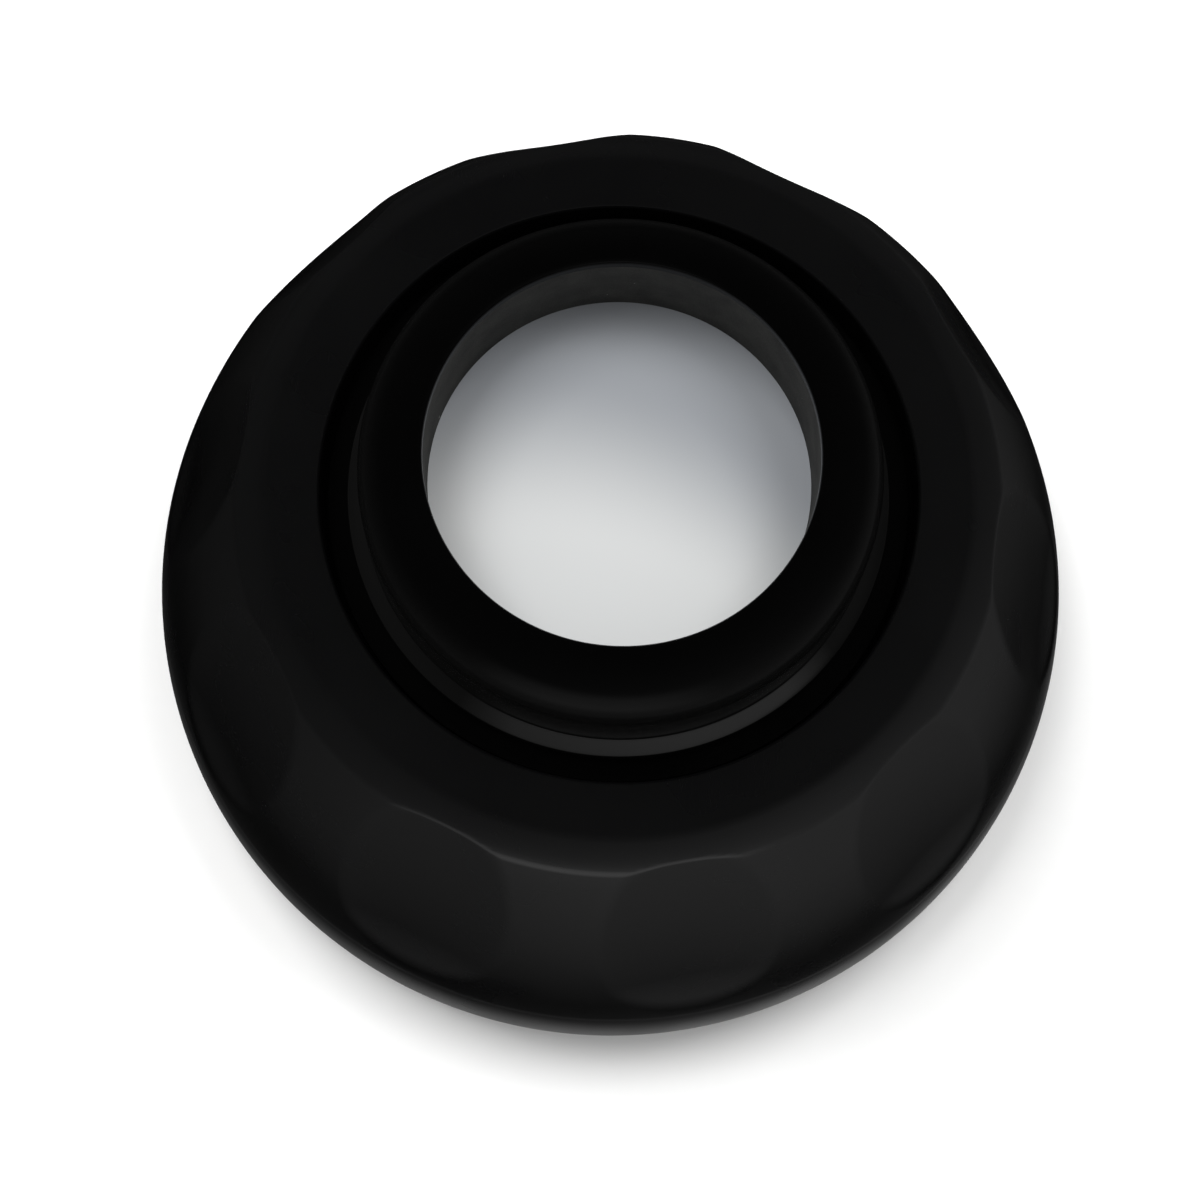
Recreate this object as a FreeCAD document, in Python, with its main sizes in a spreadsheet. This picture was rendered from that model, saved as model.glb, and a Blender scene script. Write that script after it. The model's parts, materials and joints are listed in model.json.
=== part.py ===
"""Survey prism in a scalloped screw-on housing, as a parametric FreeCAD document (millimetres).

The optical axis is +Z.  The prism looks up, the mounting thread is underneath and the origin is the
middle of the face that the prism stands on.  A rear base carries a threaded collar.  The prism cell
drops into the collar and its flange sits on top.  The scalloped grip cap screws down over the collar
and clamps the flange through a slip ring, so that the cap turns while the prism stays still.
"""

import FreeCAD, Part
import Sketcher
import math
import os

# Driving dimensions.  Heights ("..._z") are above the standing face, radii are from the optical axis.
SIZES = {
    # grip cap, outside
    "rim_bottom_z": 0.4,
    "rim_round": 0.8,
    "rim_low_radius": 34.75,
    "roll_round": 22.0,
    "roll_top_radius": 34.3,
    "roll_top_z": 10.0,
    "skirt_top_radius": 26.44,
    "skirt_top_z": 30.0,
    "skirt_bulge": 87.0,
    "shoulder_round": 6.0,
    "face_radius": 24.2,
    "face_z": 31.3,
    "bore_radius": 20.4,
    "bore_edge": 0.25,
    # grip cap, inside
    "cap_plate_z": 28.5,
    "cap_recess_radius": 24.6,
    "ring_seat_z": 22.5,
    "ring_outer_radius": 26.4,
    "clip_groove_radius": 27.0,
    "clip_groove_top_z": 12.3,
    "clip_groove_low_z": 11.6,
    "inner_skirt_radius": 28.4,
    "inner_skirt_z": 10.7,
    "hollow_roof_z": 17.3,
    "hollow_roof_radius": 29.4,
    "hollow_foot_z": 6.0,
    "hollow_foot_radius": 32.0,
    # finger scallops
    "scallop_count": 10,
    "scallop_turn": -4.4,
    "scallop_axis": 90.0,
    "scallop_top_radius": 25.5,
    "scallop_top_z": 31.5,
    "scallop_low_radius": 31.9,
    "scallop_low_z": 15.5,
    "scallop_hollow": 21.2,
    "scallop_exit_radius": 35.3,
    "scallop_exit_z": 9.8,
    # screw-thread ring inside the cap, and its clip
    "ring_bore_radius": 24.0,
    "ring_low_z": 12.3,
    "clip_inner_radius": 25.0,
    "clip_low_z": 11.65,
    "clip_gap": 5.0,
    # slip ring between cap and cell flange
    "slip_inner_radius": 20.9,
    "slip_outer_radius": 23.2,
    "slip_low_z": 27.85,
    "slip_top_z": 28.45,
    # rear base
    "base_radius": 31.2,
    "base_low_z": 0.6,
    "base_top_z": 3.4,
    "base_edge": 0.3,
    "boss_radius": 12.9,
    "boss_top_z": 11.1,
    "foot_inner_radius": 25.5,
    "foot_outer_radius": 29.5,
    "foot_seat_z": 1.2,
    "foot_round": 0.3,
    "dust_groove_radius": 30.4,
    "dust_low_z": 1.4,
    "dust_top_z": 2.6,
    "dust_lip_radius": 31.85,
    "dust_lip_z": 2.0,
    # threaded mounting insert, 5/8 inch x 11 threads per inch, minor diameter of the thread
    "thread_radius": 6.75,
    "thread_end_z": 10.3,
    "thread_lead_in": 0.8,
    "insert_radius": 8.8,
    "insert_top_z": 11.1,
    "insert_flange_radius": 12.6,
    "insert_flange_z": 2.0,
    # threaded collar
    "collar_inner_radius": 19.7,
    "collar_outer_radius": 23.95,
    "collar_low_z": 3.8,
    "collar_top_z": 23.9,
    "collar_edge": 0.5,
    # prism cell
    "cell_low_z": 11.3,
    "cell_floor_z": 12.5,
    "cell_wall_radius": 16.2,
    "cell_pilot_z": 19.9,
    "cell_pilot_radius": 19.5,
    "cell_bore_radius": 13.65,
    "flange_low_z": 24.2,
    "flange_top_z": 27.8,
    "flange_radius": 23.2,
    "neck_radius": 20.0,
    "neck_z": 29.0,
    "spigot_radius": 17.4,
    "spigot_fit": 0.05,
    "spigot_low_z": 23.3,
    "nose_seal_radius": 18.3,
    "nose_seal_z": 28.3,
    # nose ring
    "nose_step_radius": 18.55,
    "nose_step_z": 30.25,
    "nose_foot_z": 31.0,
    "nose_radius": 17.5,
    "nose_shoulder_z": 35.2,
    "nose_crest_radius": 13.4,
    "nose_crest_z": 39.3,
    "nose_round": 4.1,
    "mouth_radius": 13.0,
    "mouth_z": 38.9,
    "lip_round": 0.4,
    "liner_radius": 14.25,
    "liner_top_z": 38.45,
    "liner_fit": 0.05,
    # prism glass, its seal, its cushion and its spring
    "glass_radius": 13.5,
    "glass_front_z": 32.0,
    "glass_apex_z": 12.9,
    "seal_low_z": 30.7,
    "cushion_inner_radius": 7.0,
    "cushion_low_z": 13.9,
    "cushion_top_z": 19.8,
    "cushion_fit": 0.1,
    "spring_inner_radius": 9.5,
    "spring_outer_radius": 13.3,
    "spring_rise": 0.8,
    "spring_thickness": 0.6,
    # screws and pins
    "base_screw_circle": 21.8,
    "base_screw_radius": 1.25,
    "base_screw_head": 2.3,
    "base_screw_cone": 1.2,
    "base_screw_end_z": 10.6,
    "base_screw_count": 4,
    "insert_screw_circle": 10.9,
    "insert_screw_radius": 0.9,
    "insert_screw_head": 1.5,
    "insert_screw_cone": 0.8,
    "insert_screw_end_z": 8.6,
    "insert_screw_count": 3,
    "slot_width": 0.5,
    "slot_depth": 0.45,
    "grub_radius": 1.0,
    "grub_z": 26.0,
    "grub_inner": 17.5,
    "grub_length": 5.2,
    "grub_count": 3,
    "pin_circle": 21.6,
    "pin_radius": 0.9,
    "pin_low_z": 21.5,
    "pin_top_z": 26.7,
    "pin_count": 2,
}

FULL_TURN = 360.0
LEAST_CUT = 0.01   # cubic millimetres
doc = FreeCAD.newDocument("SurveyPrism")
sheet = doc.addObject("Spreadsheet::Sheet", "Sizes")
kept = []          # every sub-part that is written to a file


def fill_sheet():
    """Put each driving dimension in column B, with its name in column A and as its alias."""
    for row, (name, number) in enumerate(SIZES.items(), start=1):
        sheet.set("A%d" % row, name)
        sheet.set("B%d" % row, str(number))
        sheet.setAlias("B%d" % row, name)
    doc.recompute()


def size(text):
    """The number that a sum of sheet names stands for, such as 'face_z - bore_edge'."""
    words = text.split()
    total = float(getattr(sheet, words[0]))
    for sign, name in zip(words[1::2], words[2::2]):
        number = float(getattr(sheet, name))
        total += number if sign == "+" else -number
    return total


def bound(text):
    """The same sum as an expression that the document keeps live."""
    return " ".join(word if word in "+-" else "Sizes." + word for word in text.split())


def spin(shape_object, degrees):
    """Turn a sub-part about the optical axis."""
    axis = FreeCAD.Vector(0, 0, 1)
    shape_object.Placement = FreeCAD.Placement(FreeCAD.Vector(), FreeCAD.Rotation(axis, degrees))


def keep(shape_object, label):
    """Name a finished sub-part and put it on the list of files to write."""
    shape_object.Label = label
    kept.append(shape_object)
    return shape_object


# ---------------------------------------------------------------- sketch and feature helpers

def new_body(label):
    """An empty PartDesign body."""
    body = doc.addObject("PartDesign::Body", label)
    return keep(body, label)


def origin_feature(body, role):
    """One of the body's own origin planes or axes."""
    for feature in body.Origin.OriginFeatures:
        if feature.Role == role:
            return feature
    raise ValueError(role)


def new_sketch(body, name, plane, height=None):
    """A sketch on an origin plane of the body, raised along the plane's normal by a sheet size."""
    sketch = body.newObject("Sketcher::SketchObject", name)
    sketch.AttachmentSupport = [(origin_feature(body, plane), "")]
    sketch.MapMode = "FlatFace"
    if height is not None:
        sketch.setExpression(".AttachmentOffset.Base.z", bound(height))
    return sketch


def pin_point(sketch, edge, end, across, up):
    """Fix one end of an edge at sheet sizes across and up from the sketch origin."""
    for kind, text, axis in (("DistanceX", across, -2), ("DistanceY", up, -1)):
        if text is None:
            sketch.addConstraint(Sketcher.Constraint("PointOnObject", edge, end, axis))
            continue
        index = sketch.addConstraint(
            Sketcher.Constraint(kind, -1, 1, edge, end, size(text))
        )
        sketch.setExpression("Constraints[%d]" % index, bound(text))


def arc_middle(start, finish, radius, side):
    """The middle point of the shorter arc between two points, bulging to the given side."""
    chord = finish - start
    half = chord.Length / 2
    sagitta = radius - math.sqrt(radius * radius - half * half)
    across = FreeCAD.Vector(-chord.y, chord.x, 0).normalize()
    return (start + finish) * 0.5 + across * (sagitta * side)


def outline(sketch, corners):
    """Draw a closed outline.  A corner is (across, up) or (across, up, radius, side), where the
    radius and side describe the arc from this corner to the next one (None stands for zero)."""
    points = []
    for corner in corners:
        across = 0.0 if corner[0] is None else size(corner[0])
        up = 0.0 if corner[1] is None else size(corner[1])
        points.append(FreeCAD.Vector(across, up, 0))
    count = len(corners)
    ends = []
    for index, corner in enumerate(corners):
        start = points[index]
        finish = points[(index + 1) % count]
        ends.append(draw_edge(sketch, start, finish, corner[2:]))
    for index, corner in enumerate(corners):
        following = (index + 1) % count
        sketch.addConstraint(
            Sketcher.Constraint("Coincident", index, ends[index][1], following, ends[following][0])
        )
        pin_point(sketch, index, ends[index][0], corner[0], corner[1])
        if len(corner) == 4:
            number = sketch.addConstraint(Sketcher.Constraint("Radius", index, size(corner[2])))
            sketch.setExpression("Constraints[%d]" % number, bound(corner[2]))


def draw_edge(sketch, start, finish, bend):
    """Add a line or an arc.  Return the numbers of its first and last end: a sketch numbers an
    arc's ends anticlockwise, so they swap where the outline runs clockwise round the arc."""
    if not bend:
        sketch.addGeometry(Part.LineSegment(start, finish))
        return 1, 2
    middle = arc_middle(start, finish, size(bend[0]), bend[1])
    if bend[1] < 0:
        sketch.addGeometry(Part.Arc(start, middle, finish))
        return 1, 2
    sketch.addGeometry(Part.Arc(finish, middle, start))
    return 2, 1


def revolve(body, corners):
    """Turn an outline of radii and heights right round the optical axis."""
    sketch = new_sketch(body, body.Name + "_profile", "XZ_Plane")
    outline(sketch, corners)
    turned = body.newObject("PartDesign::Revolution", body.Name + "_turned")
    turned.Profile = sketch
    turned.ReferenceAxis = (sketch, ["V_Axis"])
    turned.Angle = FULL_TURN
    doc.recompute()
    return turned


def turned_part(label, corners):
    """A body that is nothing but a revolved outline."""
    body = new_body(label)
    revolve(body, corners)
    return body


def repeat_round(body, feature, count):
    """Repeat a feature round the optical axis."""
    pattern = body.newObject("PartDesign::PolarPattern", feature.Name + "_round")
    pattern.Originals = [feature]
    pattern.Axis = (origin_feature(body, "Z_Axis"), [""])
    pattern.Angle = FULL_TURN
    body.Tip = pattern
    pattern.setExpression("Occurrences", bound(count))
    doc.recompute()


def check_cut(body, before, name):
    """Stop if a cut has taken nothing away."""
    if body.Shape.Volume > before - LEAST_CUT:
        raise RuntimeError("%s cut nothing from %s" % (name, body.Label))


def drill_round(body, name, circle, radius, mouth, end, count, upward=True):
    """Drill a ring of equal holes, parallel to the axis, from the mouth height to the end height."""
    before = body.Shape.Volume
    sketch = new_sketch(body, name + "_mark", "XY_Plane", mouth)
    sketch.addGeometry(Part.Circle(FreeCAD.Vector(size(circle), 0, 0), FreeCAD.Vector(0, 0, 1),
                                   size(radius)))
    sketch.addConstraint(Sketcher.Constraint("PointOnObject", 0, 3, -1))
    for kind, text in (("DistanceX", circle), ("Radius", radius)):
        if kind == "Radius":
            index = sketch.addConstraint(Sketcher.Constraint(kind, 0, size(text)))
        else:
            index = sketch.addConstraint(Sketcher.Constraint(kind, -1, 1, 0, 3, size(text)))
        sketch.setExpression("Constraints[%d]" % index, bound(text))
    hole = body.newObject("PartDesign::Pocket", name)
    hole.Profile = sketch
    deep, shallow = (end, mouth) if upward else (mouth, end)
    hole.setExpression("Length", "%s - (%s)" % (bound(deep), bound(shallow)))
    hole.Reversed = upward
    doc.recompute()
    check_cut(body, before, name)
    repeat_round(body, hole, count)


def countersink(body, name, circle, shank, head, cone, mouth, end, count):
    """Drill a ring of countersunk holes from a face that looks down."""
    drill_round(body, name, circle, shank, mouth, end, count)
    before = body.Shape.Volume
    sketch = new_sketch(body, name + "_cone_outline", "XZ_Plane")
    outline(sketch, [
        (circle, mouth),
        (circle + " + " + head, mouth),
        (circle + " + " + shank, mouth + " + " + cone),
        (circle, mouth + " + " + cone),
    ])
    sink = body.newObject("PartDesign::Groove", name + "_cone")
    sink.Profile = sketch
    sink.ReferenceAxis = (sketch, ["Edge4"])
    sink.Angle = FULL_TURN
    doc.recompute()
    check_cut(body, before, name + "_cone")
    repeat_round(body, sink, count)


# ---------------------------------------------------------------- grip cap and what turns with it

def make_grip_cap():
    """The moulded shell that the hand turns: a flat face, a bulging skirt with finger scallops, and
    a rim that rolls in again below its widest point."""
    body = new_body("grip_cap")
    revolve(body, [
        ("bore_radius", "cap_plate_z"),
        ("bore_radius", "face_z - bore_edge"),
        ("bore_radius + bore_edge", "face_z"),
        ("face_radius", "face_z", "shoulder_round", 1),
        ("skirt_top_radius", "skirt_top_z", "skirt_bulge", 1),
        ("roll_top_radius", "roll_top_z", "roll_round", 1),
        ("rim_low_radius", "rim_bottom_z + rim_round", "rim_round", 1),
        ("rim_low_radius - rim_round", "rim_bottom_z"),
        ("hollow_foot_radius", "rim_bottom_z"),
        ("hollow_foot_radius", "hollow_foot_z"),
        ("hollow_roof_radius", "hollow_roof_z"),
        ("inner_skirt_radius", "hollow_roof_z"),
        ("inner_skirt_radius", "inner_skirt_z"),
        ("ring_outer_radius", "inner_skirt_z"),
        ("ring_outer_radius", "clip_groove_low_z"),
        ("clip_groove_radius", "clip_groove_low_z"),
        ("clip_groove_radius", "clip_groove_top_z"),
        ("ring_outer_radius", "clip_groove_top_z"),
        ("ring_outer_radius", "ring_seat_z"),
        ("cap_recess_radius", "ring_seat_z"),
        ("cap_recess_radius", "cap_plate_z"),
    ])
    cut_scallops(body)
    spin(body, size("scallop_turn"))


def cut_scallops(body):
    """Cut one hollow finger scallop, whose floor runs straight down and then curves out through the
    skirt, and repeat it.  The cutter turns about an upright axis outside the cap."""
    before = body.Shape.Volume
    sketch = new_sketch(body, "scallop_outline", "XZ_Plane")
    outline(sketch, [
        ("scallop_top_radius", "scallop_top_z"),
        ("scallop_low_radius", "scallop_low_z", "scallop_hollow", -1),
        ("scallop_exit_radius", "scallop_exit_z"),
        ("scallop_axis", "scallop_exit_z"),
        ("scallop_axis", "scallop_top_z"),
    ])
    scallop = body.newObject("PartDesign::Groove", "scallop")
    scallop.Profile = sketch
    scallop.ReferenceAxis = (sketch, ["Edge4"])
    scallop.Angle = FULL_TURN
    doc.recompute()
    check_cut(body, before, "scallop")
    repeat_round(body, scallop, "scallop_count")


def make_thread_ring():
    """The metal ring inside the cap whose bore carries the screw thread."""
    turned_part("thread_ring", [
        ("ring_bore_radius", "ring_low_z"),
        ("ring_outer_radius", "ring_low_z"),
        ("ring_outer_radius", "ring_seat_z"),
        ("ring_bore_radius", "ring_seat_z"),
    ])


def make_ring_clip():
    """The open spring clip that holds the thread ring up in the cap."""
    body = turned_part("ring_clip", [
        ("clip_inner_radius", "clip_low_z"),
        ("clip_groove_radius", "clip_low_z"),
        ("clip_groove_radius", "clip_groove_top_z"),
        ("clip_inner_radius", "clip_groove_top_z"),
    ])
    before = body.Shape.Volume
    sketch = new_sketch(body, "clip_gap_outline", "XZ_Plane")
    outline(sketch, [
        ("clip_inner_radius - clip_gap", "clip_low_z - rim_round"),
        ("clip_groove_radius + clip_gap", "clip_low_z - rim_round"),
        ("clip_groove_radius + clip_gap", "clip_groove_top_z + rim_round"),
        ("clip_inner_radius - clip_gap", "clip_groove_top_z + rim_round"),
    ])
    gap = body.newObject("PartDesign::Pocket", "clip_gap_cut")
    gap.Profile = sketch
    gap.SideType = "Symmetric"
    gap.setExpression("Length", bound("clip_gap"))
    doc.recompute()
    check_cut(body, before, "clip_gap_cut")


def make_slip_ring():
    """The slippery washer that the cap turns on: it rises with the cap but does not turn."""
    turned_part("slip_ring", [
        ("slip_inner_radius", "slip_low_z"),
        ("slip_outer_radius", "slip_low_z"),
        ("slip_outer_radius", "slip_top_z"),
        ("slip_inner_radius", "slip_top_z"),
    ])


# ---------------------------------------------------------------- rear base and its collar

def make_base_plate():
    """The moulded rear base, with a boss for the mounting insert and grooves for foot and dust ring."""
    body = new_body("base_plate")
    revolve(body, [
        ("insert_radius + spigot_fit", "insert_flange_z"),
        ("insert_radius + spigot_fit", "boss_top_z"),
        ("boss_radius", "boss_top_z"),
        ("boss_radius", "base_top_z"),
        ("base_radius", "base_top_z"),
        ("base_radius", "dust_top_z"),
        ("dust_groove_radius", "dust_top_z"),
        ("dust_groove_radius", "dust_low_z"),
        ("base_radius", "dust_low_z"),
        ("base_radius", "base_low_z + base_edge"),
        ("base_radius - base_edge", "base_low_z"),
        ("foot_outer_radius", "base_low_z"),
        ("foot_outer_radius", "foot_seat_z"),
        ("foot_inner_radius", "foot_seat_z"),
        ("foot_inner_radius", "base_low_z"),
        ("insert_flange_radius + spigot_fit", "base_low_z"),
        ("insert_flange_radius + spigot_fit", "insert_flange_z"),
    ])
    countersink(body, "base_screw_hole", "base_screw_circle", "base_screw_radius", "base_screw_head",
                "base_screw_cone", "base_low_z", "base_top_z", "base_screw_count")
    drill_round(body, "insert_screw_hole", "insert_screw_circle", "insert_screw_radius",
                "insert_flange_z", "insert_screw_end_z", "insert_screw_count")


def make_foot_ring():
    """The rubber ring that the prism stands on."""
    turned_part("foot_ring", [
        ("foot_inner_radius + foot_round", None),
        ("foot_outer_radius - foot_round", None, "foot_round", 1),
        ("foot_outer_radius", "foot_round"),
        ("foot_outer_radius", "foot_seat_z"),
        ("foot_inner_radius", "foot_seat_z"),
        ("foot_inner_radius", "foot_round", "foot_round", 1),
    ])


def make_dust_ring():
    """The lip seal round the base's edge, which keeps dust out from under the cap."""
    turned_part("dust_ring", [
        ("dust_groove_radius", "dust_low_z"),
        ("base_radius", "dust_low_z"),
        ("dust_lip_radius", "dust_lip_z"),
        ("base_radius", "dust_top_z"),
        ("dust_groove_radius", "dust_top_z"),
    ])


def make_mount_insert():
    """The flanged brass insert with the mounting thread, drawn plain at its minor diameter."""
    body = new_body("mount_insert")
    revolve(body, [
        ("thread_radius + thread_lead_in", "base_low_z"),
        ("insert_flange_radius", "base_low_z"),
        ("insert_flange_radius", "insert_flange_z"),
        ("insert_radius", "insert_flange_z"),
        ("insert_radius", "insert_top_z"),
        (None, "insert_top_z"),
        (None, "thread_end_z"),
        ("thread_radius", "thread_end_z"),
        ("thread_radius", "base_low_z + thread_lead_in"),
    ])
    countersink(body, "flange_screw_hole", "insert_screw_circle", "insert_screw_radius",
                "insert_screw_head", "insert_screw_cone", "base_low_z", "insert_flange_z",
                "insert_screw_count")


def make_base_gasket():
    """The thin gasket between base and collar."""
    body = turned_part("base_gasket", [
        ("collar_inner_radius", "base_top_z"),
        ("collar_outer_radius", "base_top_z"),
        ("collar_outer_radius", "collar_low_z"),
        ("collar_inner_radius", "collar_low_z"),
    ])
    drill_round(body, "gasket_hole", "base_screw_circle", "base_screw_radius", "base_top_z",
                "collar_low_z", "base_screw_count")


def make_threaded_collar():
    """The metal collar that the cap screws onto, with tapped holes below and pin holes on top."""
    body = turned_part("threaded_collar", [
        ("collar_inner_radius", "collar_low_z"),
        ("collar_outer_radius", "collar_low_z"),
        ("collar_outer_radius", "collar_top_z - collar_edge"),
        ("collar_outer_radius - collar_edge", "collar_top_z"),
        ("collar_inner_radius", "collar_top_z"),
    ])
    drill_round(body, "collar_screw_hole", "base_screw_circle", "base_screw_radius",
                "collar_low_z", "base_screw_end_z", "base_screw_count")
    drill_round(body, "collar_pin_hole", "pin_circle", "pin_radius", "collar_top_z", "pin_low_z",
                "pin_count", upward=False)


# ---------------------------------------------------------------- prism cell and nose

def make_cell_body():
    """The cup that holds the prism, with a pilot that fits the collar and a flange on top."""
    body = new_body("cell_body")
    revolve(body, [
        (None, "cell_low_z"),
        ("cell_wall_radius", "cell_low_z"),
        ("cell_wall_radius", "cell_pilot_z"),
        ("cell_pilot_radius", "cell_pilot_z"),
        ("cell_pilot_radius", "flange_low_z"),
        ("flange_radius", "flange_low_z"),
        ("flange_radius", "flange_top_z"),
        ("neck_radius", "flange_top_z"),
        ("neck_radius", "neck_z"),
        ("nose_seal_radius", "neck_z"),
        ("nose_seal_radius", "nose_seal_z"),
        ("spigot_radius + spigot_fit", "nose_seal_z"),
        ("spigot_radius + spigot_fit", "spigot_low_z"),
        ("cell_bore_radius", "spigot_low_z"),
        ("cell_bore_radius", "cell_floor_z"),
        (None, "cell_floor_z"),
    ])
    drill_round(body, "cell_pin_hole", "pin_circle", "pin_radius", "flange_low_z", "pin_top_z",
                "pin_count")
    drill_grub_holes(body)


def drill_grub_holes(body):
    """Drill the radial holes of the grub screws that lock the nose ring."""
    before = body.Shape.Volume
    sketch = new_sketch(body, "grub_mark", "XZ_Plane")
    sketch.addGeometry(Part.Circle(FreeCAD.Vector(0, size("grub_z"), 0),
                                   FreeCAD.Vector(0, 0, 1), size("grub_radius")))
    sketch.addConstraint(Sketcher.Constraint("PointOnObject", 0, 3, -2))
    height = sketch.addConstraint(Sketcher.Constraint("DistanceY", -1, 1, 0, 3, size("grub_z")))
    sketch.setExpression("Constraints[%d]" % height, bound("grub_z"))
    width = sketch.addConstraint(Sketcher.Constraint("Radius", 0, size("grub_radius")))
    sketch.setExpression("Constraints[%d]" % width, bound("grub_radius"))
    hole = body.newObject("PartDesign::Pocket", "grub_hole")
    hole.Profile = sketch
    hole.setExpression("Length", bound("flange_radius + rim_round"))
    doc.recompute()
    check_cut(body, before, "grub_hole")
    repeat_round(body, hole, "grub_count")


def make_cell_gasket():
    """The gasket between the collar's top and the cell flange."""
    body = turned_part("cell_gasket", [
        ("collar_inner_radius", "collar_top_z"),
        ("flange_radius", "collar_top_z"),
        ("flange_radius", "flange_low_z"),
        ("collar_inner_radius", "flange_low_z"),
    ])
    drill_round(body, "gasket_pin_hole", "pin_circle", "pin_radius", "collar_top_z", "flange_low_z",
                "pin_count")


def make_nose_ring():
    """The bull-nosed ring round the prism's window, screwed into the cell."""
    turned_part("nose_ring", [
        ("liner_radius", "spigot_low_z + liner_fit"),
        ("spigot_radius", "spigot_low_z + liner_fit"),
        ("spigot_radius", "neck_z"),
        ("nose_step_radius", "neck_z"),
        ("nose_step_radius", "nose_step_z"),
        ("nose_radius", "nose_foot_z"),
        ("nose_radius", "nose_shoulder_z", "nose_round", -1),
        ("nose_crest_radius", "nose_crest_z", "lip_round", -1),
        ("mouth_radius", "mouth_z"),
        ("mouth_radius", "liner_top_z"),
        ("liner_radius", "liner_top_z"),
    ])


def make_nose_seal():
    """The square seal under the nose ring's step."""
    turned_part("nose_seal", [
        ("spigot_radius + liner_fit", "nose_seal_z"),
        ("nose_seal_radius", "nose_seal_z"),
        ("nose_seal_radius", "neck_z"),
        ("spigot_radius + liner_fit", "neck_z"),
    ])


def make_bore_liner():
    """The matt sleeve that lines the nose's bore and presses on the glass."""
    turned_part("bore_liner", [
        ("mouth_radius", "glass_front_z"),
        ("liner_radius - liner_fit", "glass_front_z"),
        ("liner_radius - liner_fit", "liner_top_z"),
        ("mouth_radius", "liner_top_z"),
    ])


def make_glass_seal():
    """The seal round the edge of the glass."""
    turned_part("glass_seal", [
        ("glass_radius", "seal_low_z"),
        ("liner_radius", "seal_low_z"),
        ("liner_radius", "glass_front_z"),
        ("glass_radius", "glass_front_z"),
    ])


def cube_corner(apex, reach):
    """A big cube standing on one corner at the given height, its diagonal along the optical axis."""
    cube = doc.addObject("Part::Box", "corner_cube")
    for side in ("Length", "Width", "Height"):
        setattr(cube, side, reach)
    tilt = FreeCAD.Rotation(FreeCAD.Vector(1, 1, 1), FreeCAD.Vector(0, 0, 1))
    cube.Placement = FreeCAD.Placement(FreeCAD.Vector(0, 0, size(apex)), tilt)
    cube.setExpression(".Placement.Base.z", bound(apex))
    return cube


def bar(name, radius, low, high):
    """A round bar on the optical axis between two heights."""
    round_bar = doc.addObject("Part::Cylinder", name)
    round_bar.setExpression("Radius", bound(radius))
    round_bar.setExpression("Height", "%s - (%s)" % (bound(high), bound(low)))
    round_bar.setExpression(".Placement.Base.z", bound(low))
    return round_bar


def glass_solid(name, radius, apex):
    """The corner-cube shape: a round bar cut to three faces that meet at right angles."""
    solid = doc.addObject("Part::MultiCommon", name)
    reach = 2 * size("glass_front_z")
    solid.Shapes = [bar(name + "_bar", radius, apex, "glass_front_z"), cube_corner(apex, reach)]
    return solid


def make_prism_glass():
    """The corner-cube prism."""
    keep(glass_solid("prism_glass_solid", "glass_radius", "glass_apex_z"), "prism_glass")


def make_prism_cushion():
    """The soft seat moulded to the prism's three back faces."""
    outer = bar("cushion_outer", "cell_bore_radius", "cushion_low_z", "cushion_top_z")
    inner = bar("cushion_inner", "cushion_inner_radius", "cell_floor_z", "glass_front_z")
    space = glass_solid("cushion_space", "glass_radius", "glass_apex_z - cushion_fit")
    ring = doc.addObject("Part::Cut", "cushion_ring")
    ring.Base = outer
    ring.Tool = inner
    cushion = doc.addObject("Part::Cut", "cushion")
    cushion.Base = ring
    cushion.Tool = space
    keep(cushion, "prism_cushion")


def make_spring_washer():
    """The dished washer that presses the cushion and prism forward."""
    turned_part("spring_washer", [
        ("spring_outer_radius", "cell_floor_z"),
        ("spring_outer_radius", "cell_floor_z + spring_thickness"),
        ("spring_inner_radius", "cell_floor_z + spring_thickness + spring_rise"),
        ("spring_inner_radius", "cell_floor_z + spring_rise"),
    ])


# ---------------------------------------------------------------- screws and pins

def slotted_screw(name, circle, shank, head, cone, low, end, angle):
    """A countersunk slotted screw, head down, on a circle about the optical axis."""
    stem = doc.addObject("Part::Cylinder", name + "_stem")
    stem.setExpression("Radius", bound(shank))
    stem.setExpression("Height", "%s - (%s)" % (bound(end), bound(low)))
    taper = doc.addObject("Part::Cone", name + "_taper")
    taper.setExpression("Radius1", bound(head))
    taper.setExpression("Radius2", bound(shank))
    taper.setExpression("Height", bound(cone))
    slot = doc.addObject("Part::Box", name + "_slot")
    slot.setExpression("Length", bound(head + " + " + head))
    slot.setExpression("Width", bound("slot_width"))
    slot.setExpression("Height", bound("slot_depth"))
    slot.setExpression(".Placement.Base.x", "%s - (%s)" % (bound(circle), bound(head)))
    slot.setExpression(".Placement.Base.y", "-%s / 2" % bound("slot_width"))
    slot.setExpression(".Placement.Base.z", bound(low))
    for piece in (stem, taper):
        piece.setExpression(".Placement.Base.x", bound(circle))
        piece.setExpression(".Placement.Base.z", bound(low))
    blank = doc.addObject("Part::MultiFuse", name + "_blank")
    blank.Shapes = [stem, taper]
    screw = doc.addObject("Part::Cut", name)
    screw.Base = blank
    screw.Tool = slot
    spin(screw, angle)
    return screw


def group(label, members):
    """Several equal fasteners as one sub-part of separate solids."""
    bundle = doc.addObject("Part::Compound", label)
    bundle.Links = members
    keep(bundle, label)


def angles(count, first=0.0):
    """Evenly spaced angles round a full turn."""
    number = int(size(count))
    return [first + FULL_TURN * index / number for index in range(number)]


def make_base_screws():
    """The screws that hold the collar on the base."""
    group("base_screws", [
        slotted_screw("base_screw_%d" % index, "base_screw_circle", "base_screw_radius",
                      "base_screw_head", "base_screw_cone", "base_low_z", "base_screw_end_z", angle)
        for index, angle in enumerate(angles("base_screw_count"))
    ])


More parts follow.
